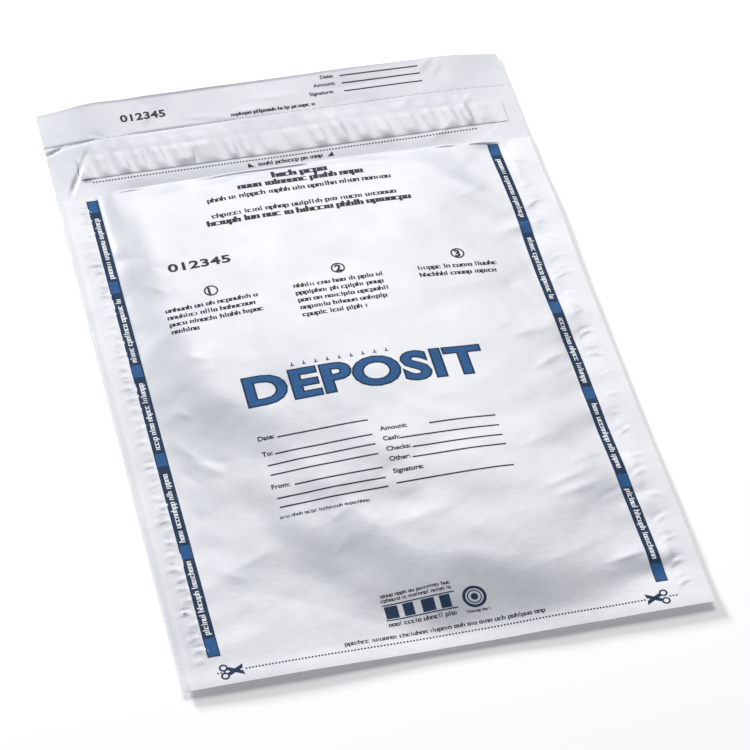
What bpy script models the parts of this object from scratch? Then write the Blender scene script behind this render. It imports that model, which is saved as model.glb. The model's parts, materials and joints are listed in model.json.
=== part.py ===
"""Cash deposit bag: a pouch of white film with welded sides and a folded bottom.

Its back sheet runs on past the mouth as a closure lip with an adhesive strip and
a release liner, and ends in a receipt that tears off along a perforation.

Metres, +Z up. The bag lies on its back on z = 0, empty and a little puffed.
X runs across it and +Y from the folded bottom to the receipt. The origin is
under the middle of its outline.
"""

import bmesh
import bpy
import numpy as np
from mathutils import Matrix, Vector

MM = 0.001

# Lengths along the bag
BAG_WIDTH = 228.6 * MM
BODY_LENGTH = 304.8 * MM  # folded bottom to fold line
LIP_LENGTH = 27.5 * MM  # fold line to perforation
RECEIPT_LENGTH = 23.2 * MM  # perforation to top edge
MOUTH_INSET = 10.8 * MM  # the front sheet ends this far short of the fold line
SEAL_WIDTH = 12.7 * MM  # welded band down each side

# Sheet and clearances
FILM = 0.4 * MM  # thicker than real film, so that the sheet is a sound solid
WELD = 0.8 * MM  # both sheets welded into one band
GAP = 0.3 * MM

# Heights above the surface that the bag lies on
SEAM_HEIGHT = 1.9 * MM  # middle of the welds and of the bottom fold
LIP_HEIGHT = 0.8 * MM  # underside of the lip and the receipt
PUFF = 6.9 * MM  # rise of the front sheet over its seams at its fullest
MOUTH_GAPE = 5.35 * MM  # the same rise at the mouth

# Closure
STRIP_WIDTH = 12.5 * MM
STRIP_LENGTH = 200.0 * MM
STRIP_OFFSET = (6.0 * MM, 3.4 * MM)  # its middle in X, its near edge past the fold line
LINER_MARGIN = 1.0 * MM  # the liner covers the strip and this much round it
LINER_TAB = 6.0 * MM  # bare end of the liner, where fingers lift it
FOLD_AXIS_HEIGHT = 5.0 * MM  # middle of the loop that the film makes as the lip turns over

# Perforation: ties between the lip and the receipt, with cuts between them
TIE_PITCH = 6.0 * MM
TIE_WIDTH = 1.6 * MM
TIE_REACH = 0.5 * MM

HALF_WIDTH = BAG_WIDTH / 2
TOTAL_LENGTH = BODY_LENGTH + LIP_LENGTH + RECEIPT_LENGTH
BOTTOM_Y = -TOTAL_LENGTH / 2
FOLD_Y = BOTTOM_Y + BODY_LENGTH
PERFORATION_Y = FOLD_Y + LIP_LENGTH
TOP_Y = TOTAL_LENGTH / 2
MOUTH_Y = FOLD_Y - MOUTH_INSET
PANEL_HALF = HALF_WIDTH - SEAL_WIDTH - GAP  # half width of the sheets between the welds
FOLD_DEPTH = 3.4 * MM  # the bottom fold's own strip
PANEL_START = BOTTOM_Y + FOLD_DEPTH + GAP
FOLD_OUTER = FILM + GAP / 2  # radius of the bottom fold
FOLD_INNER = GAP / 2
FRONT_SEAM = SEAM_HEIGHT + GAP / 2  # underside of the front sheet at its seams
BACK_SEAM = SEAM_HEIGHT - GAP / 2 - FILM  # underside of the back sheet at its seams
FLAT_HALF = 76.0 * MM  # the back sheet lies flat within this half width
FLAT_START = PANEL_START + 19.0 * MM
RISE_TO_LIP = 12.6 * MM  # run over which the back sheet climbs to the lip
FULLEST = 0.45  # place along the front sheet where it is fullest
ARC_STEPS = 8


def clear_scene():
    for obj in list(bpy.data.objects):
        bpy.data.objects.remove(obj)


def make_material(name, colour, roughness):
    material = bpy.data.materials.new(name)
    material.use_nodes = True
    shader = material.node_tree.nodes["Principled BSDF"]
    shader.inputs["Base Color"].default_value = (*colour, 1.0)
    shader.inputs["Roughness"].default_value = roughness
    shader.inputs["Metallic"].default_value = 0.0
    return material


def add_object(name, bm, material, origin=(0, 0, 0)):
    """One closed solid, with its origin moved to the given point."""
    bmesh.ops.recalc_face_normals(bm, faces=bm.faces)
    bmesh.ops.translate(bm, verts=bm.verts, vec=-Vector(origin))
    mesh = bpy.data.meshes.new(name)
    bm.to_mesh(mesh)
    bm.free()
    mesh.materials.append(material)
    mesh.shade_smooth()
    mesh.set_sharp_from_angle(angle=np.radians(40))
    obj = bpy.data.objects.new(name, mesh)
    obj.location = origin
    bpy.context.scene.collection.objects.link(obj)
    return obj


def attach(child, parent):
    child.parent = parent
    child.matrix_parent_inverse = Matrix.Translation(-parent.location)


def extrude_outline(outline, offset):
    """A prism: a flat outline of points, carried along the offset."""
    bm = bmesh.new()
    face = bm.faces.new([bm.verts.new(point) for point in outline])
    made = bmesh.ops.extrude_face_region(bm, geom=[face])["geom"]
    moved = [item for item in made if isinstance(item, bmesh.types.BMVert)]
    bmesh.ops.translate(bm, verts=moved, vec=offset)
    return bm


def box_outline(x_low, x_high, y_low, y_high, z):
    return [(x_low, y_low, z), (x_high, y_low, z), (x_high, y_high, z), (x_low, y_high, z)]


def smoothstep(value):
    value = np.clip(value, 0.0, 1.0)
    return value * value * (3 - 2 * value)


def curved_sheet(xs, ys, height, keep):
    """A sheet of film over a grid. height gives its underside, and keep(x, y) says
    whether the cell with that middle belongs to it."""
    bm = bmesh.new()
    verts = {}

    def corner(i, j, layer):
        if (i, j, layer) not in verts:
            z = height(xs[i], ys[j]) + layer * FILM
            verts[i, j, layer] = bm.verts.new((xs[i], ys[j], z))
        return verts[i, j, layer]

    for i in range(len(xs) - 1):
        for j in range(len(ys) - 1):
            if not keep((xs[i] + xs[i + 1]) / 2, (ys[j] + ys[j + 1]) / 2):
                continue
            ring = [(i, j), (i + 1, j), (i + 1, j + 1), (i, j + 1)]
            bm.faces.new([corner(*cell, 1) for cell in ring])
            bm.faces.new([corner(*cell, 0) for cell in reversed(ring)])
    rims = [edge for edge in bm.edges if edge.is_boundary]
    bmesh.ops.bridge_loops(bm, edges=rims)
    return bm


def across(half, count):
    """Places from -half to half, closer together towards both ends."""
    return half * np.sin(np.linspace(-np.pi / 2, np.pi / 2, count))


def front_height(x, y):
    """Underside of the front sheet: a low pillow that stays open at the mouth."""
    along = (y - PANEL_START) / (MOUTH_Y - PANEL_START)
    if along < FULLEST:
        rise = PUFF * (1 - (1 - along / FULLEST) ** 4)
    else:
        rise = PUFF - (PUFF - MOUTH_GAPE) * ((along - FULLEST) / (1 - FULLEST)) ** 2
    return FRONT_SEAM + rise * (1 - abs(x / PANEL_HALF) ** 4)


def back_height(x, y):
    """Underside of the back sheet: flat where it rests, and lifted to its seams."""
    side = smoothstep((abs(x) - FLAT_HALF) / (PANEL_HALF - FLAT_HALF))
    bottom = smoothstep((FLAT_START - y) / (FLAT_START - PANEL_START))
    lip = smoothstep((y - FOLD_Y + RISE_TO_LIP) / RISE_TO_LIP)
    seams = BACK_SEAM * (1 - (1 - side) * (1 - bottom))
    return (1 - lip) * seams + lip * LIP_HEIGHT


def front_panel(film):
    ys = np.linspace(0, 1, 25) ** 1.4 * (MOUTH_Y - PANEL_START) + PANEL_START
    bm = curved_sheet(across(PANEL_HALF, 27), ys, front_height, lambda x, y: True)
    return add_object("front_panel", bm, film)


def back_panel(film):
    """Between the welds up to the mouth, and the bag's full width past it."""
    inner = np.linspace(-FLAT_HALF, FLAT_HALF, 9)
    slope = np.linspace(FLAT_HALF, PANEL_HALF, 7)[1:]
    xs = np.concatenate([[-HALF_WIDTH], -slope[::-1], inner, slope, [HALF_WIDTH]])
    shoulder = MOUTH_Y + GAP
    low = np.linspace(PANEL_START, FLAT_START, 6)
    flat = np.linspace(FLAT_START, FOLD_Y - RISE_TO_LIP, 12)[1:]
    high = np.linspace(shoulder, FOLD_Y - GAP / 2, 5)
    ys = np.concatenate([low, flat, high])
    bm = curved_sheet(xs, ys, back_height, lambda x, y: abs(x) < PANEL_HALF or y > shoulder)
    return add_object("back_panel", bm, film)


def side_seal(name, side, film):
    """Both sheets welded flat, down one side of the pouch."""
    edges = sorted([side * HALF_WIDTH, side * (HALF_WIDTH - SEAL_WIDTH)])
    low = SEAM_HEIGHT - WELD / 2
    bm = extrude_outline(box_outline(*edges, BOTTOM_Y, MOUTH_Y, low), (0, 0, WELD))
    return add_object(name, bm, film)


def bottom_fold(film):
    """The film turned back on itself: a U that runs between the side welds."""
    bend_y = BOTTOM_Y + FOLD_OUTER
    end_y = BOTTOM_Y + FOLD_DEPTH
    angles = np.linspace(np.pi / 2, 3 * np.pi / 2, ARC_STEPS + 1)
    arc = np.column_stack([np.cos(angles), np.sin(angles)])
    outer = arc * FOLD_OUTER + (bend_y, SEAM_HEIGHT)
    inner = arc[::-1] * FOLD_INNER + (bend_y, SEAM_HEIGHT)
    top = [(end_y, SEAM_HEIGHT + FOLD_INNER), (end_y, SEAM_HEIGHT + FOLD_OUTER)]
    foot = [(end_y, SEAM_HEIGHT - FOLD_OUTER), (end_y, SEAM_HEIGHT - FOLD_INNER)]
    profile = [*top, *outer, *foot, *inner]
    outline = [(-PANEL_HALF, y, z) for y, z in profile]
    return add_object("bottom_fold", extrude_outline(outline, (2 * PANEL_HALF, 0, 0)), film)


def perforated_edge(y, reach, z):
    """An edge from -X to +X with one short tie at each pitch."""
    count = int(BAG_WIDTH // TIE_PITCH)
    points = [(-HALF_WIDTH, y, z)]
    for index in range(count):
        middle = (index - (count - 1) / 2) * TIE_PITCH
        left = middle - TIE_WIDTH / 2
        right = middle + TIE_WIDTH / 2
        points += [(left, y, z), (left, y + reach, z), (right, y + reach, z), (right, y, z)]
    return [*points, (HALF_WIDTH, y, z)]


def closure_lip(film):
    edge = perforated_edge(PERFORATION_Y - GAP / 2 - TIE_REACH, TIE_REACH, LIP_HEIGHT)
    start = FOLD_Y + GAP / 2
    corners = [(HALF_WIDTH, start, LIP_HEIGHT), (-HALF_WIDTH, start, LIP_HEIGHT)]
    bm = extrude_outline([*edge, *corners], (0, 0, FILM))
    return add_object("closure_lip", bm, film, (0, FOLD_Y, FOLD_AXIS_HEIGHT))


def tear_off_receipt(film):
    edge = perforated_edge(PERFORATION_Y + GAP / 2 + TIE_REACH, -TIE_REACH, LIP_HEIGHT)
    corners = [(HALF_WIDTH, TOP_Y, LIP_HEIGHT), (-HALF_WIDTH, TOP_Y, LIP_HEIGHT)]
    bm = extrude_outline([*edge, *corners], (0, 0, FILM))
    return add_object("tear_off_receipt", bm, film, (0, PERFORATION_Y, LIP_HEIGHT))


def closure_strip(name, margin, tab, level, material):
    """A flat strip along the lip: level 1 lies on the lip, level 2 on level 1."""
    middle, near = STRIP_OFFSET
    x_low = middle - STRIP_LENGTH / 2 - margin
    x_high = middle + STRIP_LENGTH / 2 + margin
    y_low = FOLD_Y + near - margin
    y_high = y_low + STRIP_WIDTH + 2 * margin
    z = LIP_HEIGHT + level * (FILM + GAP)
    bm = extrude_outline(box_outline(x_low - tab, x_high, y_low, y_high, z), (0, 0, FILM))
    return add_object(name, bm, material, (x_low, y_low, z))


def main():
    clear_scene()
    film = make_material("white_film", (0.86, 0.87, 0.90), 0.35)
    weld = make_material("welded_film", (0.80, 0.82, 0.86), 0.35)
    tack = make_material("adhesive", (0.78, 0.79, 0.78), 0.20)
    release = make_material("liner_film", (0.88, 0.89, 0.91), 0.30)
    back_panel(film)
    front_panel(film)
    side_seal("left_side_seal", -1, weld)
    side_seal("right_side_seal", 1, weld)
    bottom_fold(film)
    lip = closure_lip(film)
    attach(closure_strip("adhesive_strip", 0, 0, 1, tack), lip)
    attach(closure_strip("release_liner", LINER_MARGIN, LINER_TAB, 2, release), lip)
    attach(tear_off_receipt(film), lip)


main()
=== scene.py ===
"""The looks of the cash deposit bag: its film sheets, welds, closure, print and studio.

The CAD solids give every place and size. Lengths here are in metres, and the film is
laid out flat: x across the bag and y along it, with heights z worked out from both.
"""

import json
import math

import bmesh
import bpy
import numpy as np
from mathutils import Matrix, Vector


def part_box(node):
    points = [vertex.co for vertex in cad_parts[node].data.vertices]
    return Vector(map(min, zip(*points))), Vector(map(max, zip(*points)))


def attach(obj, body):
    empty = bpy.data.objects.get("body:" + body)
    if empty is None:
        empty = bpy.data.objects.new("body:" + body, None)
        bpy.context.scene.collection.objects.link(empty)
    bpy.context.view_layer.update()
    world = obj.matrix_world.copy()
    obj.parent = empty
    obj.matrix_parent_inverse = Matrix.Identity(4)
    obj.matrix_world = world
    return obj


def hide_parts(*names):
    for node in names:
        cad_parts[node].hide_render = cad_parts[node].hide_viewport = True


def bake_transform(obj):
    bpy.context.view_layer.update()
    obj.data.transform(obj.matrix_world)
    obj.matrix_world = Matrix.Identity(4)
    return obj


MM = 0.001

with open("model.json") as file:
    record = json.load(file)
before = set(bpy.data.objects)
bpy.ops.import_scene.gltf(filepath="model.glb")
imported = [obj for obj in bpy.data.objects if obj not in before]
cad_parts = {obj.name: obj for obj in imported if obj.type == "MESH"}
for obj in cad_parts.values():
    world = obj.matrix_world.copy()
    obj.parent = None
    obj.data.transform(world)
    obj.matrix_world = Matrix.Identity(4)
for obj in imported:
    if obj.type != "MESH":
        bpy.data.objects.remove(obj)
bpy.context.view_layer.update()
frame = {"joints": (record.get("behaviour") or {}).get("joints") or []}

# ---------------------------------------------------------------- places from the frame
WELD_LOW, WELD_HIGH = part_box("right_side_seal")
LIP_LOW, LIP_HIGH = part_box("closure_lip")
RECEIPT_LOW, RECEIPT_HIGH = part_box("tear_off_receipt")
STRIP_LOW, STRIP_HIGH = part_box("adhesive_strip")
LINER_LOW, LINER_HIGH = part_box("release_liner")
FOLD_AXIS = next(j["pos_m"] for j in frame["joints"] if j["name"] == "lip_fold")

HALF = WELD_HIGH.x  # outer edge of the bag
SEAM = WELD_LOW.x  # inner edge of the side welds
BOTTOM = WELD_LOW.y
MOUTH = WELD_HIGH.y
FOLD = FOLD_AXIS[1]
PERFORATION = (LIP_HIGH.y + RECEIPT_LOW.y) / 2
TOP = RECEIPT_HIGH.y
SEAM_LEVEL = (WELD_LOW.z + WELD_HIGH.z) / 2
LIP_LEVEL = (LIP_LOW.z + LIP_HIGH.z) / 2

# ---------------------------------------------------------------- the film
FILM = 0.2 * MM  # its thickness
STRIP_FILM = 0.08 * MM
LINER_FILM = 0.10 * MM
STRIP_OFF = 0.17 * MM  # from the middle of the lip's film to the middle of the adhesive
LINER_OFF = 0.31 * MM  # and to the middle of the liner
PUFF = 7.2 * MM  # how far the front sheet stands off its seam level where it is fullest
GAPE = 3.6 * MM  # and at the mouth
FULLEST = 0.45  # the share of the way up the bag from which it falls towards the mouth
LIP_LIFT = 3.6 * MM  # how far the top edge stands above the lip's level
SLIT = 0.24 * MM  # how wide the cuts of the perforation stand open
TIE_PITCH = 3.6 * MM
TIE = 1.2 * MM  # width of the ties of film between the cuts
TIE_GAP = 0.06 * MM  # between the two halves of a tie

# Grid steps of the sheets
FINE = 1.2 * MM  # wherever no other is given
CREASED_GRID = 0.6 * MM  # across the lip's creased left end
HEM_GRID = 0.4 * MM  # along the front sheet's last stretch to the mouth
HIDDEN_GRID = 3.0 * MM  # along the back sheet, where the front sheet hides it
LIP_GRID = 0.9 * MM  # along the lip
RECEIPT_GRID = 0.7 * MM  # along the receipt
LINER_GRID = 0.8 * MM


def smoothstep(value):
    """From 0 to 1, level at both ends."""
    value = np.clip(value, 0.0, 1.0)
    return value * value * (3 - 2 * value)


def hump(distance):
    """1 at no distance, and next to nothing beyond 2 on either side."""
    return np.exp(-distance * distance)


def noise(x, y, cell, seed):
    """Smooth random values from -1 to 1, whose features are about one cell across."""
    count = 256
    lattice = np.random.default_rng(seed).uniform(-1, 1, (count, count))
    u = x / cell + count // 2
    v = y / cell + count // 2
    i = np.floor(u).astype(int)
    j = np.floor(v).astype(int)
    a = smoothstep(u - i)
    b = smoothstep(v - j)
    i = i % (count - 1)
    j = j % (count - 1)
    low = lattice[i, j] * (1 - a) + lattice[i + 1, j] * a
    high = lattice[i, j + 1] * (1 - a) + lattice[i + 1, j + 1] * a
    return low * (1 - b) + high * b


def crease(x, y, start, end, height, width):
    """A ridge, or a valley where height is negative, along a line that fades at its ends."""
    start = np.array(start) * MM
    run = np.array(end) * MM - start
    length = np.hypot(*run)
    along = ((x - start[0]) * run[0] + (y - start[1]) * run[1]) / length
    aside = ((x - start[0]) * run[1] - (y - start[1]) * run[0]) / length
    beyond = np.maximum(np.maximum(-along, along - length), 0)
    fade = hump((along / length - 0.5) * 1.5) * hump(beyond / (2 * width * MM))
    return height * MM * fade * hump(aside / (width * MM))


# ---------------------------------------------------------------- heights
def weld_height(x, y):
    """Where the two sheets meet in the side welds and at the bottom fold.

    The welds drop a little to their outer edges, and the film rises a little to the fold.
    """
    slow = 0.45 * MM * noise(x, y, 60 * MM, 11) + 0.2 * MM * noise(x, y, 22 * MM, 12)
    drop = 0.2 * MM * smoothstep((np.abs(x) - SEAM) / (HALF - SEAM))
    left_bead = 0.14 * MM * hump((x + HALF - 2.4 * MM) / (0.6 * MM))
    foot = 0.35 * MM * (1 - smoothstep((y - BOTTOM) / (12 * MM)))
    return SEAM_LEVEL + slow - drop + foot + left_bead


def weld_dents(x, y):
    """Small hooked puckers that the heat of the welding leaves in the side welds."""
    height = np.zeros_like(x)
    rng = np.random.default_rng(5)
    # Side, distance apart, greatest height and greatest half length in mm
    for side, pitch, strength, longest in ((-1, 6.6, 0.65, 2.6), (1, 12.5, 0.50, 4.2)):
        for stop in np.arange(BOTTOM / MM + 14, MOUTH / MM - 8, pitch):
            middle_y = (stop + rng.uniform(-1.5, 1.5)) * MM
            middle_x = side * (SEAM + rng.uniform(1.8, 4.4) * MM)
            tilt = rng.uniform(-0.3, 0.7)
            size = rng.uniform(0.25, 1.0) * strength * MM
            reach = rng.uniform(0.6, 1.0) * longest * MM
            thick = rng.uniform(0.7, 1.1) * MM
            u = (x - middle_x) / reach
            v = (y - middle_y - tilt * (x - middle_x) + 0.9 * MM * u * u) / thick
            near = np.abs(u) < 2.5
            height[near] += size * hump(u[near]) * (hump(v[near]) - 0.7 * hump(v[near] - 1.5))
    return height


def seam_puckers(x, y):
    """Soft ridges that start at the side welds and die out towards the middle."""
    height = np.zeros_like(x)
    rng = np.random.default_rng(8)
    # Side, distance apart and greatest height in mm, and how far they lean along the bag
    for side, pitch, strength, drift in ((-1, 17, 0.30, 0.35), (1, 16, 0.85, -0.30)):
        inward = SEAM - side * x
        in_weld = np.exp(inward / (3.5 * MM))
        in_bag = 1 - 0.45 * hump(inward / (5 * MM))
        ramp = np.where(inward < 0, in_weld, in_bag)
        for stop in np.arange(BOTTOM / MM + 18, MOUTH / MM, pitch):
            start = (stop + rng.uniform(-4, 4)) * MM
            reach = rng.uniform(12, 34) * MM
            width = rng.uniform(3.6, 6.5) * MM
            size = rng.uniform(0.35, 1.0) * strength * MM * rng.choice([-1, 1])
            lean = drift * rng.uniform(0.4, 1.4)
            spread = width * (1 + np.maximum(inward, 0) / (40 * MM))
            line = hump((y - start - lean * inward) / spread)
            height += size * line * ramp * np.exp(-np.maximum(inward, 0) / reach)
    return height


# Single creases in mm: start, end, height, half width
BROAD_FOLDS = (
    ((95, -48), (25, -70), -0.30, 8),
    ((98, -20), (30, -42), 0.25, 7),
    ((96, 25), (40, 8), -0.35, 6),
    ((88, -100), (0, -118), -0.2, 9),
    ((20, -105), (-70, -84), -0.5, 10),
    ((-60, -75), (-30, -140), 0.6, 9),
    ((-96, 10), (-60, 28), 0.3, 6),
    ((-97, -22), (-62, -12), -0.3, 7),
    ((-95, 58), (-72, 30), -0.7, 8),
    ((60, 100), (98, 60), 0.7, 7),
    ((75, 112), (96, 20), -0.4, 9),
    ((-90, 108), (-84, 60), -0.8, 6),
    ((-40, 106), (60, 104), 0.4, 5),
)
LIP_CREASES = (
    ((-110, 113), (-104, 130), -0.7, 1.2),
    ((-105, 126), (-96, 146), -0.7, 1.2),
    ((-114, 149.5), (-107, 153), -0.9, 0.9),
    ((-109, 152.5), (-90, 154.2), -0.5, 0.8),
)


def creases(x, y, rows):
    return sum(crease(x, y, *row) for row in rows)


# Groups of wrinkles in mm and degrees: how many, the range of x, the range of y, the range of
# angles, the greatest length, width and height
BAG_WRINKLES = (
    (15, (66, 95), (-150, 105), (8, 38), 42, 2.6, 0.42),
    (11, (-94, -72), (-140, 100), (125, 160), 26, 2.4, 0.32),
    (6, (-10, 85), (-140, -60), (8, 26), 85, 6.0, 0.30),
    (7, (-80, -10), (-130, -20), (10, 50), 50, 3.4, 0.25),
    (7, (-60, 85), (96, 112), (-5, 8), 45, 2.2, 0.24),
    (10, (-80, 95), (110, 113), (-4, 5), 42, 1.4, 0.34),
    (6, (-20, 90), (-20, 80), (-15, 25), 55, 3.0, 0.18),
)
LIP_WRINKLES = (
    (7, (60, 108), (120, 175), (25, 70), 30, 1.8, 0.42),
    (8, (-108, -60), (120, 175), (60, 165), 26, 1.8, 0.42),
    (7, (-60, 60), (150, 170), (-12, 16), 50, 3.0, 0.26),
)


def wrinkles(x, y, groups):
    """Thin crisp wrinkles at random places in each group's area."""
    height = np.zeros_like(x)
    rng = np.random.default_rng(17)
    for count, across, along, turn, longest, widest, tall in groups:
        for _ in range(count):
            middle = (rng.uniform(*across) * MM, rng.uniform(*along) * MM)
            angle = math.radians(rng.uniform(*turn))
            half = rng.uniform(0.45, 1.0) * longest / 2 * MM
            wide = rng.uniform(0.45, 1.0) * widest * MM
            size = rng.uniform(0.3, 1.0) * tall * MM * rng.choice([1, 1, -1])
            dx = x - middle[0]
            dy = y - middle[1]
            u = (dx * math.cos(angle) + dy * math.sin(angle)) / half
            bend = rng.uniform(-0.12, 0.12) * half * u * u
            v = (dy * math.cos(angle) - dx * math.sin(angle) - bend) / (wide * (1.3 + u))
            near = np.abs(u) < 1
            fade = (1 - u[near] ** 2) ** 2
            height[near] += size * fade * np.exp(-np.sqrt(v[near] ** 2 + 0.05) + 0.22)
    return height


def crinkle(x, y):
    """Small irregular unevenness of thin film that has been handled."""
    return MM * (
        0.30 * noise(x, y, 31 * MM, 21)
        + 0.11 * noise(x + 0.4 * y, y, 13 * MM, 22)
        + 0.035 * noise(x - 0.3 * y, y, 5.5 * MM, 23)
    )


def rounded(value):
    """From 0 to 1 like the side of a pillow: steep at its foot, level at the top."""
    return 1 - (1 - np.clip(value, 0, 1)) ** 2


def joined_height(x, y):
    """The two sheets where they touch: at the welds, with their puckers, and the foot."""
    along = (y - BOTTOM) / (MOUTH - BOTTOM)
    return weld_height(x, y) + weld_dents(x, y) + seam_puckers(x, y) * smoothstep(along * 12)


def front_height(x, y):
    """Middle of the front sheet: a slack pillow between the welds, open at the mouth.

    It is fullest towards the right. Its foot rises at once and steeply on the right, and
    late and slowly on the left. Its left flank is steep near the mouth and slow below it.
    """
    rightward = smoothstep((x + 90 * MM) / (100 * MM))
    rightmost = smoothstep((x - 10 * MM) / (50 * MM))

    # The foot: where it starts above the fold, how long it rises, and a second, slower rise
    start = (48 - 44 * rightward - 5 * rightmost) * MM
    run = (130 - 88 * rightward - 6 * rightmost) * MM
    rise = (y - BOTTOM - start) / run
    share = 0.5 + 0.4 * rightward
    low = (1 - share) * rounded(rise) + share * smoothstep(rise)
    slower = 0.48 * rightward
    low = (1 - slower) * low + slower * smoothstep(rise / 2.4)

    # The flanks, each a pillow's side and a long gentle slope
    downward = 0.3 * smoothstep((110 * MM - y) / (190 * MM))
    downward += 0.7 * smoothstep((-12 * MM - y) / (50 * MM))
    below = smoothstep((MOUTH - y) / (55 * MM))
    from_left = x + SEAM - 5 * MM
    left = 0.65 * rounded(from_left / ((9 + 6 * below + 69 * downward) * MM))
    left += 0.35 * smoothstep(from_left / (85 * MM))
    from_right = SEAM - 3 * MM - x
    right = 0.6 * rounded(from_right / ((32 + 43 * below) * MM))
    right += 0.4 * smoothstep(from_right / (95 * MM))

    # The fall to the mouth, the loose folds between the welds, and the hem's uneven edge
    along = (y - BOTTOM) / (MOUTH - BOTTOM)
    high = 1 - (1 - GAPE / PUFF) * np.clip((along - FULLEST) / (1 - FULLEST), 0, 1) ** 4
    inside = smoothstep((SEAM - np.abs(x)) / (12 * MM)) * smoothstep((y - BOTTOM) / (30 * MM))
    loose = creases(x, y, BROAD_FOLDS) + crinkle(x, y) + wrinkles(x, y, BAG_WRINKLES)
    hem = hump((y - MOUTH + 0.9 * MM) / (0.6 * MM))
    hem *= 0.42 * MM * np.maximum(0.6 + noise(x, y, 9 * MM, 31), 0)
    pillow = PUFF * low * left * right * high
    return joined_height(x, y) + FILM / 2 + pillow + inside * (loose + hem)


def band_ripples(x, y):
    """Soft ripples across the closure, from 0 to 1, that the lip and its liner share."""
    pitch = 10.5 * MM
    wander = x + 4.5 * MM * noise(x, 0 * y, 16 * MM, 51) + 0.15 * y
    wave = 0.5 + 0.5 * np.tanh(1.6 * np.sin(2 * math.pi * wander / pitch))
    return wave * (0.65 + 0.35 * noise(x, y, 13 * MM, 52))


def lip_height(x, y):
    """Middle of the film past the mouth, up to the top edge of the receipt.

    It lifts and curls towards its top edge, has a shallow groove along the perforation, and
    shares the liner's ripples in a band beside it.
    """
    out = np.clip((y - MOUTH) / (TOP - MOUTH), 0, 1) ** 1.4
    flat = smoothstep((HALF + 4 * MM - np.abs(x)) / (36 * MM))
    lift = LIP_LIFT * out * flat + 0.5 * MM * out * hump((x + 88 * MM) / (12 * MM))
    curl = 0.3 * MM * smoothstep((y - TOP + 1.4 * MM) / (1.4 * MM))
    curl *= hump((x + 30 * MM) / (75 * MM))
    waves = 0.32 * MM * noise(x, y, 38 * MM, 41) + 0.22 * MM * noise(x, y, 15 * MM, 42)
    waves += wrinkles(x, y, LIP_WRINKLES)
    leftward = smoothstep((10 * MM - x) / (90 * MM))
    groove = (0.04 + 0.20 * leftward) * MM * (noise(x, 0 * y, 21 * MM, 43) - 0.8)
    groove *= hump((y - PERFORATION) / (0.7 * MM))
    stiff_end = creases(x, y, LIP_CREASES)
    band = smoothstep((y - FOLD - 0.8 * MM) / (5 * MM))
    band *= smoothstep((PERFORATION - 2 * MM - y) / (6 * MM))
    band *= smoothstep((98 * MM - np.abs(x)) / (10 * MM))
    beside = 0.50 * MM * band_ripples(x, y) * band
    return LIP_LEVEL + lift + curl + waves * flat + groove + stiff_end + beside


def back_height(x, y):
    """Middle of the back sheet: flat on the table, up to its seams, and out to the lip."""
    flat_to = 76 * MM
    side = smoothstep((np.abs(x) - flat_to) / (SEAM - flat_to))
    foot = smoothstep((BOTTOM + 22 * MM - y) / (20 * MM))
    seams = 1 - (1 - side) * (1 - foot)
    pouch = FILM + seams * (joined_height(x, y) - FILM / 2 - FILM)
    out = smoothstep((y - MOUTH + 3 * MM) / (14 * MM))
    return (1 - out) * pouch + out * lip_height(x, y)


def liner_height(x, y):
    """Middle of the liner, which stands in soft ripples off the strip that it covers."""
    low_edge = smoothstep((y - LINER_LOW.y) / (5.0 * MM))
    high_edge = smoothstep((LINER_HIGH.y - y) / (3.5 * MM))
    # One fuller ripple, which ends in a sharp step, at 46 mm left of the middle
    step = (x + 46 * MM) / MM
    pad = 0.95 * np.exp(np.minimum(step, 0) / 5) * smoothstep(0.5 - step / 0.8)
    lift = (0.02 + (0.40 * band_ripples(x, y) + pad) * low_edge * high_edge) * MM
    lift -= 0.13 * MM * smoothstep((LINER_LOW.y + 1.0 * MM - y) / MM)
    tab = 0.5 * MM * smoothstep((LINER_LOW.x + 8 * MM - x) / (6 * MM))
    return lip_height(x, y) + LINER_OFF + lift + tab


def strip_height(x, y):
    """Middle of the adhesive layer."""
    return lip_height(x, y) + STRIP_OFF + 0.015 * MM * noise(x, y, 4 * MM, 61)


# ---------------------------------------------------------------- thin sheets as meshes
def place(height, x, y):
    """Points of the sheet's middle. Its right edge sways a little in the sheet's plane."""
    sway = 0.45 * MM * noise(0 * x, y, 34 * MM, 71) * smoothstep(x / SEAM)
    return np.stack([x + sway, y, height(x, y)], axis=-1)


def normals(height, x, y):
    """Unit directions out of the sheet's upper side."""
    step = 0.3 * MM
    slope_x = (height(x + step, y) - height(x - step, y)) / (2 * step)
    slope_y = (height(x, y + step) - height(x, y - step)) / (2 * step)
    facing = np.stack([-slope_x, -slope_y, np.ones_like(x)], axis=-1)
    return facing / np.linalg.norm(facing, axis=-1, keepdims=True)


def mesh_object(name, points, faces, material):
    mesh = bpy.data.meshes.new(name)
    mesh.from_pydata(points, [], faces)
    mesh.materials.append(material)
    mesh.shade_smooth()
    mesh.set_sharp_from_angle(angle=math.radians(50))
    obj = bpy.data.objects.new(name, mesh)
    bpy.context.scene.collection.objects.link(obj)
    return obj


def lines(start, end, step):
    """Grid lines from start to end, about one step apart."""
    return np.linspace(start, end, max(2, int(round((end - start) / step)) + 1))


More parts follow.
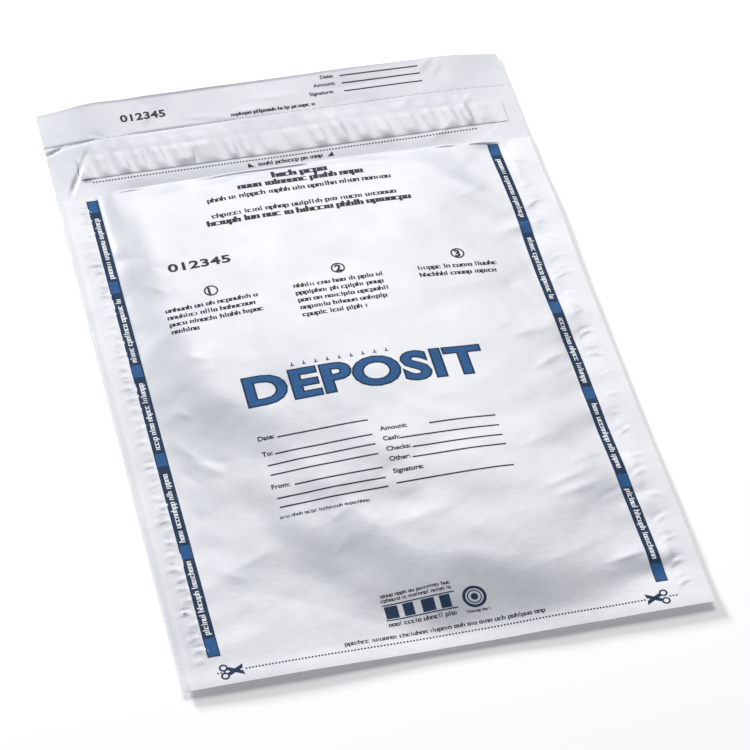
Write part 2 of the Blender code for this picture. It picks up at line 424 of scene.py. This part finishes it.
def sheet_mesh(name, xs, ys, height, thickness, material, keep=None):
    """A closed thin sheet over a grid of the flat film. Where keep is given, it says from a
    cell's middle whether that cell is film."""
    x, y = np.meshgrid(xs, ys, indexing="ij")
    middle = place(height, x, y)
    offset = normals(height, x, y) * thickness / 2
    points = np.concatenate([(middle + offset).reshape(-1, 3), (middle - offset).reshape(-1, 3)])
    count = x.size
    number = np.arange(count).reshape(x.shape)
    cells = np.ones((len(xs) - 1, len(ys) - 1), bool)
    if keep is not None:
        cells = keep((x[:-1, :-1] + x[1:, 1:]) / 2, (y[:-1, :-1] + y[1:, 1:]) / 2)
    a, b = number[:-1, :-1], number[1:, :-1]
    c, d = number[1:, 1:], number[:-1, 1:]
    top = np.stack([a, b, c, d], -1)[cells]
    padded = np.pad(cells, 1)
    walls = []
    sides = ((a, b, padded[1:-1, :-2]), (b, c, padded[2:, 1:-1]))
    sides += ((c, d, padded[1:-1, 2:]), (d, a, padded[:-2, 1:-1]))
    for start, end, neighbour in sides:
        rim = cells & ~neighbour
        s, e = start[rim], end[rim]
        walls.append(np.stack([s, s + count, e + count, e], -1))
    faces = np.concatenate([top, top[:, ::-1] + count, *walls])
    used, faces = np.unique(faces, return_inverse=True)
    faces = faces.reshape(-1, 4)
    return mesh_object(name, points[used].tolist(), faces.tolist(), material)


# ---------------------------------------------------------------- print
INK = 0.05 * MM  # how far the ink stands off the film, and into it
RULE = 0.75 * MM  # height of a writing line
CAPITAL = 0.729  # height of a capital in the built-in font, at size 1
SERIAL = "012345"
BOLD_LABEL = 0.028
BOLD_SERIAL = 0.03
SERIAL_SPACING = 1.05


def cut(polygon, axis, at):
    """The two sides of a convex polygon, cut at a value of its x or y."""
    sides = ([], [])
    for p, q in zip(polygon, polygon[1:] + polygon[:1]):
        below = p[axis] <= at
        sides[0 if below else 1].append(p)
        if below != (q[axis] <= at):
            share = (at - p[axis]) / (q[axis] - p[axis])
            point = (p[0] + share * (q[0] - p[0]), p[1] + share * (q[1] - p[1]))
            sides[0].append(point)
            sides[1].append(point)
    return [side for side in sides if len(side) > 2]


def diced(polygon, step):
    """The polygon in pieces no larger than the grid, so that it can follow the film."""
    pieces = [polygon]
    for axis in (0, 1):
        low = min(p[axis] for p in polygon)
        high = max(p[axis] for p in polygon)
        for index in range(math.floor(low / step) + 1, math.ceil(high / step)):
            at = index * step
            kept = []
            for piece in pieces:
                if min(p[axis] for p in piece) < at < max(p[axis] for p in piece):
                    kept += cut(piece, axis, at)
                else:
                    kept.append(piece)
            pieces = kept
    return pieces


def printed(name, polygons, height, material, layer=0):
    """Ink: flat shapes laid on the film as one mesh of closed thin pieces that follow it."""
    per_metre = 1e7  # corners less than about a tenth of a micron apart are one
    index = {}
    flat = []
    faces = []
    for polygon in polygons:
        for piece in diced(polygon, FINE):
            corners = []
            for x, y in piece:
                key = (round(x * per_metre), round(y * per_metre))
                if key not in index:
                    index[key] = len(flat)
                    flat.append((x, y))
                if index[key] not in corners:
                    corners.append(index[key])
            if len(corners) > 2:
                faces.append(corners)
    x, y = np.array(flat).T
    middle = place(height, x, y)
    normal = normals(height, x, y)
    top = middle + normal * (FILM / 2 + INK * (1 + 0.5 * layer))
    bottom = middle + normal * (FILM / 2 - INK)
    count = len(flat)
    # A dict keeps the edges in order, so that every run gives the same mesh
    edges = dict.fromkeys((p, q) for face in faces for p, q in zip(face, face[1:] + face[:1]))
    walls = [(p, p + count, q + count, q) for p, q in edges if (q, p) not in edges]
    under = [[i + count for i in reversed(face)] for face in faces]
    points = np.concatenate([top, bottom]).tolist()
    return mesh_object(name, points, faces + under + walls, material)


def bar(x_low, x_high, y_low, y_high):
    return [(x_low, y_low), (x_high, y_low), (x_high, y_high), (x_low, y_high)]


def circle(x, y, radius, count):
    """Points round a circle, with the first one again at the end."""
    turns = np.linspace(0, 2 * math.pi, count + 1)
    return [(x + radius * math.cos(t), y + radius * math.sin(t)) for t in turns]


def ring(x, y, radius, width, count=32):
    """A circle's outline as a run of short convex pieces."""
    inner = circle(x, y, radius - width, count)
    outer = circle(x, y, radius, count)
    return [[inner[k], outer[k], outer[k + 1], inner[k + 1]] for k in range(count)]


def disc(x, y, radius, count=24):
    return [circle(x, y, radius, count)[:-1]]


def dots(x_low, x_high, y, pitch, size):
    places = np.arange(x_low, x_high, pitch)
    return [bar(x, x + size, y - size / 2, y + size / 2) for x in places]


def words(text, x, y, size, width=None, bold=0.0, spacing=1.0):
    """Lettering as triangles: left end and baseline at x and y, capitals of the given size.

    Where width is given, the lettering is stretched to it.
    """
    curve = bpy.data.curves.new("words", "FONT")
    curve.body = text
    curve.space_character = spacing
    curve.resolution_u = 4
    holder = bpy.data.objects.new("words", curve)
    bpy.context.scene.collection.objects.link(holder)
    bpy.context.view_layer.update()
    left = holder.bound_box[0][0]  # its least corner
    right = holder.bound_box[6][0]  # and its greatest
    curve.offset = bold
    bpy.context.view_layer.update()
    mesh = bpy.data.meshes.new_from_object(holder)
    bpy.data.objects.remove(holder)
    bm = bmesh.new()
    bm.from_mesh(mesh)
    bmesh.ops.triangulate(bm, faces=bm.faces)
    tall = size / CAPITAL
    wide = tall if width is None else width / (right - left)
    shapes = []
    for face in bm.faces:
        corners = [(x + (v.co.x - left) * wide, y + v.co.y * tall) for v in face.verts]
        shapes.append(corners if face.normal.z > 0 else corners[::-1])
    bm.free()
    bpy.data.meshes.remove(mesh)
    return shapes


# Filler letters, which spell nothing: strokes in a cell one wide and one high, each as its
# left end, right end, low edge and high edge
STROKES = {
    "post": [(0.38, 0.62, 0.0, 1.45)],
    "short": [(0.38, 0.62, 0.0, 1.0)],
    "arch": [(0.0, 0.22, 0.0, 1.0), (0.78, 1.0, 0.0, 1.0), (0.22, 0.78, 0.8, 1.0)],
    "cup": [(0.0, 0.22, 0.0, 1.0), (0.78, 1.0, 0.0, 1.0), (0.22, 0.78, 0.0, 0.2)],
    "hook": [(0.0, 0.22, 0.0, 1.0), (0.22, 0.95, 0.8, 1.0), (0.22, 0.95, 0.0, 0.2)],
    "box": [(0.0, 0.22, 0, 1), (0.78, 1, 0, 1), (0.22, 0.78, 0.8, 1), (0.22, 0.78, 0, 0.2)],
    "tail": [(0, 0.22, -0.4, 1), (0.78, 1, 0, 1), (0.22, 0.78, 0.8, 1), (0.22, 0.78, 0, 0.2)],
    "chair": [(0.0, 0.22, 0, 1.45), (0.78, 1.0, 0.0, 0.9), (0.22, 0.78, 0.75, 0.95)],
}


def filler(x_low, x_high, y, size, seed, weight):
    """A line of filler lettering from x_low to about x_high, in words of 2 to 9 letters.

    The weight is 1 for plain strokes and more for bolder ones.
    """
    rng = np.random.default_rng(seed)
    names = list(STROKES)
    shapes = []
    x = x_low
    letters_left = int(rng.integers(3, 9))
    while x < x_high - size * 0.8:
        if letters_left == 0:
            x += size * 0.62
            letters_left = int(rng.integers(2, 10))
            continue
        name = names[int(rng.integers(len(names)))]
        wide = size * (0.45 if name in ("post", "short") else 0.85)
        thick = (weight + 0.2) * 0.06 * size
        for a, b, low, high in STROKES[name]:
            start = x + a * wide - thick
            end = x + b * wide + thick
            shapes.append(bar(start, end, y + low * size, y + high * size))
        x += wide + size * 0.22
        letters_left -= 1
    return shapes


def filler_lines(rows):
    """Filler by rows: left end, right end, height up the bag and size in mm, seed, weight."""
    shapes = []
    for x_low, x_high, y, size, seed, weight in rows:
        shapes += filler(x_low * MM, x_high * MM, up(y), size * MM, seed, weight)
    return shapes


def up(millimetres):
    """A place along the bag, measured up from its folded bottom."""
    return BOTTOM + millimetres * MM


# ---------------------------------------------------------------- materials
def new_material(name, roughness, colour=(0.8, 0.8, 0.8)):
    """A material with its node tree and its shader."""
    material = bpy.data.materials.new(name)
    material.use_nodes = True
    shader = material.node_tree.nodes["Principled BSDF"]
    shader.inputs["Base Color"].default_value = (*colour, 1)
    shader.inputs["Roughness"].default_value = roughness
    return material, material.node_tree, shader


def node(tree, kind, **values):
    """A new node. Each value goes to the input of that name, or else to the attribute."""
    made = tree.nodes.new(kind)
    for key, value in values.items():
        if key in made.inputs:
            made.inputs[key].default_value = value
        else:
            setattr(made, key, value)
    return made


def colour_by(tree, shader, texture, low, high):
    """Base colour that follows a texture, between two stops of a place and a colour."""
    tint = node(tree, "ShaderNodeValToRGB")
    for stop, (value, colour) in zip(tint.color_ramp.elements, (low, high)):
        stop.position = value
        stop.color = (*colour, 1)
    tree.links.new(texture.outputs["Fac"], tint.inputs["Fac"])
    tree.links.new(tint.outputs["Color"], shader.inputs["Base Color"])


def film_material(name, dark, light, gloss, scale=1.0, shine=0.5):
    """Satin polyethylene: cloudy colour, uneven gloss, faint draw lines and fine crinkle.

    The gloss is the range of its roughness, and the scale is that of all but the draw lines.
    """
    material, tree, shader = new_material(name, gloss[1])
    place_of = node(tree, "ShaderNodeTexCoord").outputs["Object"]
    cloud = node(tree, "ShaderNodeTexNoise", Scale=38 * scale, Detail=5, Roughness=0.55)
    tree.links.new(place_of, cloud.inputs["Vector"])
    colour_by(tree, shader, cloud, (0.3, dark), (0.7, light))

    smear = node(tree, "ShaderNodeTexNoise", Scale=90 * scale, Detail=6, Roughness=0.6)
    tree.links.new(place_of, smear.inputs["Vector"])
    gloss_range = node(tree, "ShaderNodeMapRange")
    gloss_range.inputs["To Min"].default_value = gloss[0]
    gloss_range.inputs["To Max"].default_value = gloss[1]
    tree.links.new(smear.outputs["Fac"], gloss_range.inputs["Value"])
    tree.links.new(gloss_range.outputs["Result"], shader.inputs["Roughness"])

    # The draw lines are about a millimetre apart and run along the bag
    stretch = node(tree, "ShaderNodeMapping", Scale=(900, 14, 900))
    tree.links.new(place_of, stretch.inputs["Vector"])
    draw_lines = node(tree, "ShaderNodeTexNoise", Scale=1.0, Detail=3)
    tree.links.new(stretch.outputs["Vector"], draw_lines.inputs["Vector"])
    fine = node(tree, "ShaderNodeTexNoise", Scale=330 * scale, Detail=4, Roughness=0.5)
    tree.links.new(place_of, fine.inputs["Vector"])
    first = node(tree, "ShaderNodeBump", Strength=0.05, Distance=0.0004)
    tree.links.new(draw_lines.outputs["Fac"], first.inputs["Height"])
    second = node(tree, "ShaderNodeBump", Strength=0.05, Distance=0.0010)
    tree.links.new(fine.outputs["Fac"], second.inputs["Height"])
    tree.links.new(first.outputs["Normal"], second.inputs["Normal"])
    tree.links.new(second.outputs["Normal"], shader.inputs["Normal"])
    shader.inputs["IOR"].default_value = 1.52
    shader.inputs["Specular IOR Level"].default_value = shine
    shader.inputs["Subsurface Weight"].default_value = 0.08
    shader.inputs["Subsurface Radius"].default_value = (0.002, 0.002, 0.002)
    shader.inputs["Subsurface Scale"].default_value = 0.4
    return material


def ink_material(name, thin, full, roughness):
    """Printing ink: slightly uneven in density, as a flexible plate leaves it."""
    material, tree, shader = new_material(name, roughness)
    place_of = node(tree, "ShaderNodeTexCoord").outputs["Object"]
    speckle = node(tree, "ShaderNodeTexNoise", Scale=1500, Detail=3, Roughness=0.7)
    tree.links.new(place_of, speckle.inputs["Vector"])
    colour_by(tree, shader, speckle, (0.35, full), (0.72, thin))
    grain = node(tree, "ShaderNodeBump", Strength=0.15, Distance=0.0002)
    tree.links.new(speckle.outputs["Fac"], grain.inputs["Height"])
    tree.links.new(grain.outputs["Normal"], shader.inputs["Normal"])
    shader.inputs["Specular IOR Level"].default_value = 0.06
    return material


WHITE = film_material("white_film", (0.57, 0.59, 0.665), (0.66, 0.675, 0.725), (0.24, 0.36))
BACK = film_material(
    "back_film", (0.57, 0.59, 0.66), (0.65, 0.66, 0.72), (0.32, 0.44), shine=0.38
)
LINER = film_material(
    "liner_film", (0.58, 0.60, 0.665), (0.67, 0.68, 0.73), (0.30, 0.42), scale=1.4, shine=0.40
)
TACK = film_material(
    "adhesive", (0.55, 0.57, 0.56), (0.66, 0.67, 0.64), (0.10, 0.22), scale=2.2
)
NAVY = ink_material("navy_ink", (0.022, 0.052, 0.112), (0.014, 0.034, 0.080), 0.50)
BLUE = ink_material("blue_ink", (0.035, 0.130, 0.330), (0.022, 0.095, 0.255), 0.50)
BLACK = ink_material("black_ink", (0.060, 0.062, 0.075), (0.022, 0.022, 0.030), 0.40)
PALE = ink_material("pale_lettering", (0.80, 0.82, 0.86), (0.88, 0.89, 0.92), 0.36)


# ---------------------------------------------------------------- film pieces
def tied(x):
    """True where a tie of film bridges the perforation."""
    return np.mod(x, TIE_PITCH) < TIE


def make_films():
    """The film pieces. It returns the four that are sheets, since the adhesive is a layer."""
    across = lines(-HALF, HALF, FINE)
    creased = -92 * MM  # the lip's stiff creases lie left of here
    lip_across = [lines(-HALF, creased, CREASED_GRID), lines(creased, HALF, FINE)[1:]]
    lip_across = np.concatenate(lip_across)
    hem_start = MOUTH - 3.6 * MM
    up_front = [lines(BOTTOM, hem_start, FINE), lines(hem_start, MOUTH, HEM_GRID)[1:]]
    front = sheet_mesh("front_film", across, np.concatenate(up_front), front_height, FILM, WHITE)
    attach(front, "pouch")
    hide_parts("front_panel", "left_side_seal", "right_side_seal", "bottom_fold")

    cut_low = PERFORATION - SLIT / 2
    cut_high = PERFORATION + SLIT / 2
    covered = MOUTH - 12 * MM
    hidden = lines(BOTTOM + 0.3 * MM, covered, HIDDEN_GRID)
    shown = lines(covered, cut_low, LIP_GRID)[1:]
    back = sheet_mesh(
        "back_film",
        lip_across,
        np.concatenate([hidden, shown, [PERFORATION - TIE_GAP / 2]]),
        back_height,
        FILM,
        BACK,
        lambda x, y: (y < cut_low) | tied(x),
    )
    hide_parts("back_panel", "closure_lip")
    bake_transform(back)

    receipt = sheet_mesh(
        "receipt_film",
        lip_across,
        np.concatenate([[PERFORATION + TIE_GAP / 2], lines(cut_high, TOP, RECEIPT_GRID)]),
        lip_height,
        FILM,
        BACK,
        lambda x, y: (y > cut_high) | tied(x),
    )
    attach(receipt, "receipt")
    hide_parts("tear_off_receipt")

    strip = sheet_mesh(
        "adhesive_layer",
        lines(STRIP_LOW.x, STRIP_HIGH.x, FINE),
        lines(STRIP_LOW.y, STRIP_HIGH.y, FINE),
        strip_height,
        STRIP_FILM,
        TACK,
    )
    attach(strip, "lip")
    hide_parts("adhesive_strip")

    liner = sheet_mesh(
        "liner_film",
        lines(LINER_LOW.x, LINER_HIGH.x, LINER_GRID),
        lines(LINER_LOW.y, LINER_HIGH.y, LINER_GRID),
        liner_height,
        LINER_FILM,
        LINER,
    )
    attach(liner, "liner")
    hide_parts("release_liner")
    return front, back, receipt, liner


# ---------------------------------------------------------------- print pieces
def front_ink(name, shapes, material, layer=0):
    """Print on the front sheet. Layer 1 lies on top of layer 0."""
    piece = printed(name, shapes, front_height, material, layer)
    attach(piece, "pouch")
    return piece


def make_stripes():
    """A dark band beside each weld, with lighter blocks between runs of pale lettering.

    The lettering reads up the left band and down the right one. Places here are in mm.
    """
    width = 5.5
    foot, top = 15.5, 292
    border = 0.5
    period = 53.6  # from one block to the next
    run_length = 41
    baseline = 1.85  # from the band's edge
    made = []
    for name, x, way in (("left", -101.6, 1), ("right", 92.6, -1)):
        low, high = x * MM, (x + width) * MM
        bands = [bar(low, high, up(foot), up(top))]
        blocks = []
        letters = []
        for k in range(6):
            start = foot + border + k * period
            end = min(start + (9.5 if k in (0, 5) else 7.5), top - border)
            blocks.append(bar(low + border * MM, high - border * MM, up(start), up(end)))
            if k == 5:
                continue
            from_x = (high if way > 0 else low) - way * baseline * MM
            from_y = up(end + (2 if way > 0 else run_length + 2))
            for shape in filler(0, run_length * MM, 0, 1.8 * MM, 100 + k, 1.2):
                letters.append([(from_x - way * q, from_y + way * p) for p, q in shape])
        made.append(front_ink(f"stripe_{name}_band", bands, NAVY))
        made.append(front_ink(f"stripe_{name}_blocks", blocks, BLUE, 1))
        made.append(front_ink(f"stripe_{name}_lettering", letters, PALE, 1))
    return made


def make_notice():
    """The heading and the paragraph under the mouth."""
    rows = (
        (-13.5, 13.5, 286, 3.0, 201, 2.9),
        (-31, 29, 281, 2.6, 202, 2.7),
        (-47, 44, 275.5, 2.1, 203, 1.6),
        (-47, 42, 264.5, 2.1, 204, 1.6),
        (-50, 47, 259.5, 2.6, 205, 2.7),
    )
    return [front_ink("notice_lines", filler_lines(rows), BLACK)]


def make_steps():
    """Three ringed numbers, each with a paragraph under it, and the serial number."""
    line_pitch = 4.7
    # Ring's middle x and y, the paragraph's ends, its rows, its seed, and its last row's end
    paragraphs = (
        (-57.5, 218.5, -80, -36, 4, 19, -65),
        (2, 220, -20.5, 22.5, 5, 12, 10),
        (59, 220.5, 38, 76, 2, 3, 76),
    )
    steps = []
    for number, (x, y, left, right, rows, seed, last) in enumerate(paragraphs, 1):
        steps += ring(x * MM, up(y), 3.3 * MM, 0.75 * MM)
        steps += words(str(number), (x - 1.2) * MM, up(y - 2.1), 4.3 * MM, bold=0.045)
        for row in range(rows):
            end = last if row == rows - 1 else right - 2 * (row % 2)
            low = up(y - 9 - line_pitch * row)
            steps += filler(left * MM, end * MM, low, 1.9 * MM, seed + row, 1.6)
    serial = words(
        SERIAL, -73.5 * MM, up(234.5), 4.9 * MM, 28.5 * MM, BOLD_SERIAL, SERIAL_SPACING
    )
    return [
        front_ink("numbered_steps", steps, BLACK),
        front_ink("front_serial", serial, BLACK),
    ]


def make_title():
    """The title, dark with a lighter fill, under a row of small marks."""
    title = ("DEPOSIT", -55 * MM, up(145), 16.6 * MM, 107 * MM)
    outline = words(*title, bold=0.052, spacing=1.06)
    fill = words(*title, bold=0.020, spacing=1.06)
    made = [
        front_ink("title_outline", outline, NAVY),
        front_ink("title_fill", fill, BLUE, 1),
    ]
    above = []
    for k in range(9):
        x = (-33 + 5.4 * k) * MM
        above.append(bar(x, x + 1.6 * MM, up(163.5), up(164.0)))
        above.append(bar(x + 0.5 * MM, x + 1.0 * MM, up(164.0), up(165.4)))
    made.append(front_ink("title_overline", above, NAVY))
    return made


def make_form():
    """The form: writing lines in two columns, their labels and a line of small print."""
    left_end, right_end = -7, 49.3
    left_rules = (
        (-47.5, 125),
        (-50.5, 116.3),
        (-55, 110.7),
        (-55, 105.1),
        (-46, 97.4),
        (-55, 91.8),
        (-55, 86.8),
    )
    right_rules = ((19, 117.8), (4.5, 111.8), (8.5, 105.8), (7, 100.2), (-3.2, 87.6))
    labels = (
        ("Date:", -56, 125.2),
        ("To:", -56, 116.5),
        ("From:", -56, 97.6),
        ("Amount:", -3, 118),
        ("Cash:", -3, 112),
        ("Checks:", -3, 106),
        ("Other:", -3, 100.4),
        ("Signature:", -3, 93.6),
    )
    shapes = []
    for rules, end in ((left_rules, left_end), (right_rules, right_end)):
        for start, y in rules:
            shapes.append(bar(start * MM, end * MM, up(y), up(y) + RULE))
    for text, x, y in labels:
        shapes += words(text, x * MM, up(y), 2.5 * MM, bold=BOLD_LABEL)
    shapes += filler_lines([(-56, -15, 81, 1.2, 301, 1.0)])
    return [front_ink("form_lines", shapes, BLACK)]


def scissors(x, y, way):
    """A small pair of scissors, its loops on one side and its blades pointing the way given."""
    shapes = []
    for side in (-1, 1):
        shapes += ring((x - 3.4 * way) * MM, up(y + 2.2 * side), 1.9 * MM, 0.8 * MM, 20)
        blade = [(x - 2.4 * way, y + 0.9 * side), (x + 4.8 * way, y - 3.0 * side)]
        tip = [(x + 4.4 * way, y - 0.8 * side), (x - 1.2 * way, y + 2.3 * side)]
        shape = [(p * MM, up(q)) for p, q in blade + tip]
        area = sum(a[0] * b[1] - b[0] * a[1] for a, b in zip(shape, shape[1:] + shape[:1]))
        shapes.append(shape if area > 0 else shape[::-1])
    return shapes


def make_foot():
    """The dotted cut line with its scissors, and the mark above it."""
    dot, dot_pitch = 0.75 * MM, 1.4 * MM
    foot = []
    for x_low, x_high, y in ((-99.5, -96, 6.6), (-87.5, 85.5, 6.8), (96, 99.8, 6.8)):
        foot += dots(x_low * MM, x_high * MM, up(y), dot_pitch, dot)
    foot += filler_lines([(-44.5, 42.5, 9.6, 1.5, 302, 1.0)])
    made = [front_ink("cut_line", foot, BLACK)]
    both = scissors(-93, 6.7, 1) + scissors(90.5, 6.9, -1)
    made.append(front_ink("scissors", both, NAVY))

    left, right = -24.5 * MM, 6.5 * MM
    mark = [bar(left, right, up(26.7), up(27.2)), bar(left, right, up(19.0), up(19.5))]
    for k in range(4):
        x = (-24 + 7.9 * k) * MM
        mark.append(bar(x, x + (5.6 - 1.1 * (k % 2)) * MM, up(20), up(26.2)))
    middle = (14.5 * MM, up(23))
    mark += ring(*middle, 5.2 * MM, 1.3 * MM)
    mark += ring(*middle, 3.2 * MM, 0.5 * MM)
    mark += disc(*middle, 1.6 * MM)
    made.append(front_ink("foot_mark", mark, NAVY))
    small = (
        (-24.5, 6.5, 31, 1.2, 303, 1.0),
        (-24.5, 6.5, 28.6, 1.2, 304, 1.0),
        (-24, 6.5, 16, 1.5, 305, 1.0),
        (9.5, 20, 15.7, 1.0, 306, 1.0),
    )
    made.append(front_ink("foot_lines", filler_lines(small), BLACK))
    return made


def make_lip_print():
    """The dotted fold line with its arrows and note, and the receipt's print."""
    marks = dots(-96 * MM, 91 * MM, FOLD, 1.5 * MM, 0.8 * MM)
    marks += filler(-17 * MM, 14 * MM, FOLD - 3.9 * MM, 1.6 * MM, 401, 1.7)
    foot = FOLD - 4.2 * MM
    arrow_width = 3.2
    arrow_lean = 1.2
    for x, way in ((-22.3, 1), (16.3, -1)):
        tip = ((x + arrow_width / 2 - arrow_lean * way) * MM, foot + 2.8 * MM)
        marks.append([(x * MM, foot), ((x + arrow_width) * MM, foot), tip])
    fold_marks = printed("fold_marks", marks, back_height, BLACK)
    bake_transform(fold_marks)

    slip = words(SERIAL, -75.5 * MM, up(341), 4.5 * MM, 21.5 * MM, BOLD_SERIAL, SERIAL_SPACING)
    rows = (("Date:", 24.5, 350.8), ("Amount:", 20, 346), ("Signature:", 17, 340.8))
    for text, x, y in rows:
        slip += words(text, x * MM, up(y), 2.2 * MM, bold=BOLD_LABEL)
        slip.append(bar(34 * MM, 73 * MM, up(y), up(y) + RULE))
    slip += filler_lines([(-23, 18, 334.6, 1.5, 402, 2.2)])
    receipt_print = printed("receipt_print", slip, lip_height, BLACK)
    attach(receipt_print, "receipt")
    return fold_marks, receipt_print


# ---------------------------------------------------------------- studio
def soft_light(name, azimuth, elevation, distance, size, power, colour):
    """A soft panel aimed at the bag. Azimuth 0 is beyond its top edge, and 90 to its right.

    Angles are in degrees, the distance and size in metres, and the power in watts.
    """
    data = bpy.data.lights.new(name, "AREA")
    data.shape = "RECTANGLE"
    data.size, data.size_y = size
    data.energy = power
    data.color = colour
    light = bpy.data.objects.new(name, data)
    a = math.radians(azimuth)
    e = math.radians(elevation)
    away = Vector((math.sin(a) * math.cos(e), math.cos(a) * math.cos(e), math.sin(e)))
    light.location = away * distance
    light.rotation_mode = "QUATERNION"
    light.rotation_quaternion = away.to_track_quat("Z", "Y")
    bpy.context.scene.collection.objects.link(light)


def make_studio():
    """A pale floor that runs out of sight, an even cool sky and two soft panels."""
    reach = 12  # metres from the bag to the floor's edges
    corners = [(-reach, -reach, 0), (reach, -reach, 0), (reach, reach, 0), (-reach, reach, 0)]
    mesh = bpy.data.meshes.new("floor")
    mesh.from_pydata(corners, [], [(0, 1, 2, 3)])
    floor = bpy.data.objects.new("floor", mesh)
    bpy.context.scene.collection.objects.link(floor)
    floor.location.z = -0.02 * MM  # just clear of the bag's underside
    material, _, shader = new_material("pale_floor", 0.9, (0.94, 0.94, 0.945))
    shader.inputs["Specular IOR Level"].default_value = 0.1
    shader.inputs["Emission Color"].default_value = (1, 1, 1, 1)
    shader.inputs["Emission Strength"].default_value = 0.15
    mesh.materials.append(material)

    world = bpy.data.worlds.new("studio")
    world.use_nodes = True
    sky = world.node_tree.nodes["Background"]
    sky.inputs["Color"].default_value = (0.84, 0.90, 1.0, 1)
    sky.inputs["Strength"].default_value = 0.20
    bpy.context.scene.world = world
    bpy.context.scene.view_settings.view_transform = "Standard"
    soft_light(
        "gloss_panel",
        azimuth=20,
        elevation=45,
        distance=2.6,
        size=(1.50, 1.20),
        power=43.0,
        colour=(1.0, 0.98, 0.94),
    )
    soft_light(
        "key_panel",
        azimuth=-27,
        elevation=17,
        distance=3.0,
        size=(0.60, 0.50),
        power=126.0,
        colour=(1.0, 0.99, 0.97),
    )


def make_camera():
    """A long lens beyond the bag's foot and a little to its left, looking down on it."""
    azimuth = math.radians(-15.96)
    elevation = math.radians(46.94)
    roll = math.radians(-3.01)
    distance = 1.5157
    target = Vector((4.83 * MM, -18.93 * MM, 0))
    away = Vector((
        math.sin(azimuth) * math.cos(elevation),
        -math.cos(azimuth) * math.cos(elevation),
        math.sin(elevation),
    ))
    data = bpy.data.cameras.new("camera")
    data.lens = 162.6
    data.sensor_width = 36
    camera = bpy.data.objects.new("camera", data)
    turn = away.to_track_quat("Z", "Y").to_matrix() @ Matrix.Rotation(-roll, 3, "Z")
    camera.matrix_world = Matrix.Translation(target + away * distance) @ turn.to_4x4()
    bpy.context.scene.collection.objects.link(camera)
    bpy.context.scene.camera = camera


make_camera()
front, back, receipt, liner = make_films()
front_print = make_stripes() + make_notice() + make_steps() + make_title()
front_print += make_form() + make_foot()
fold_marks, receipt_print = make_lip_print()
make_studio()
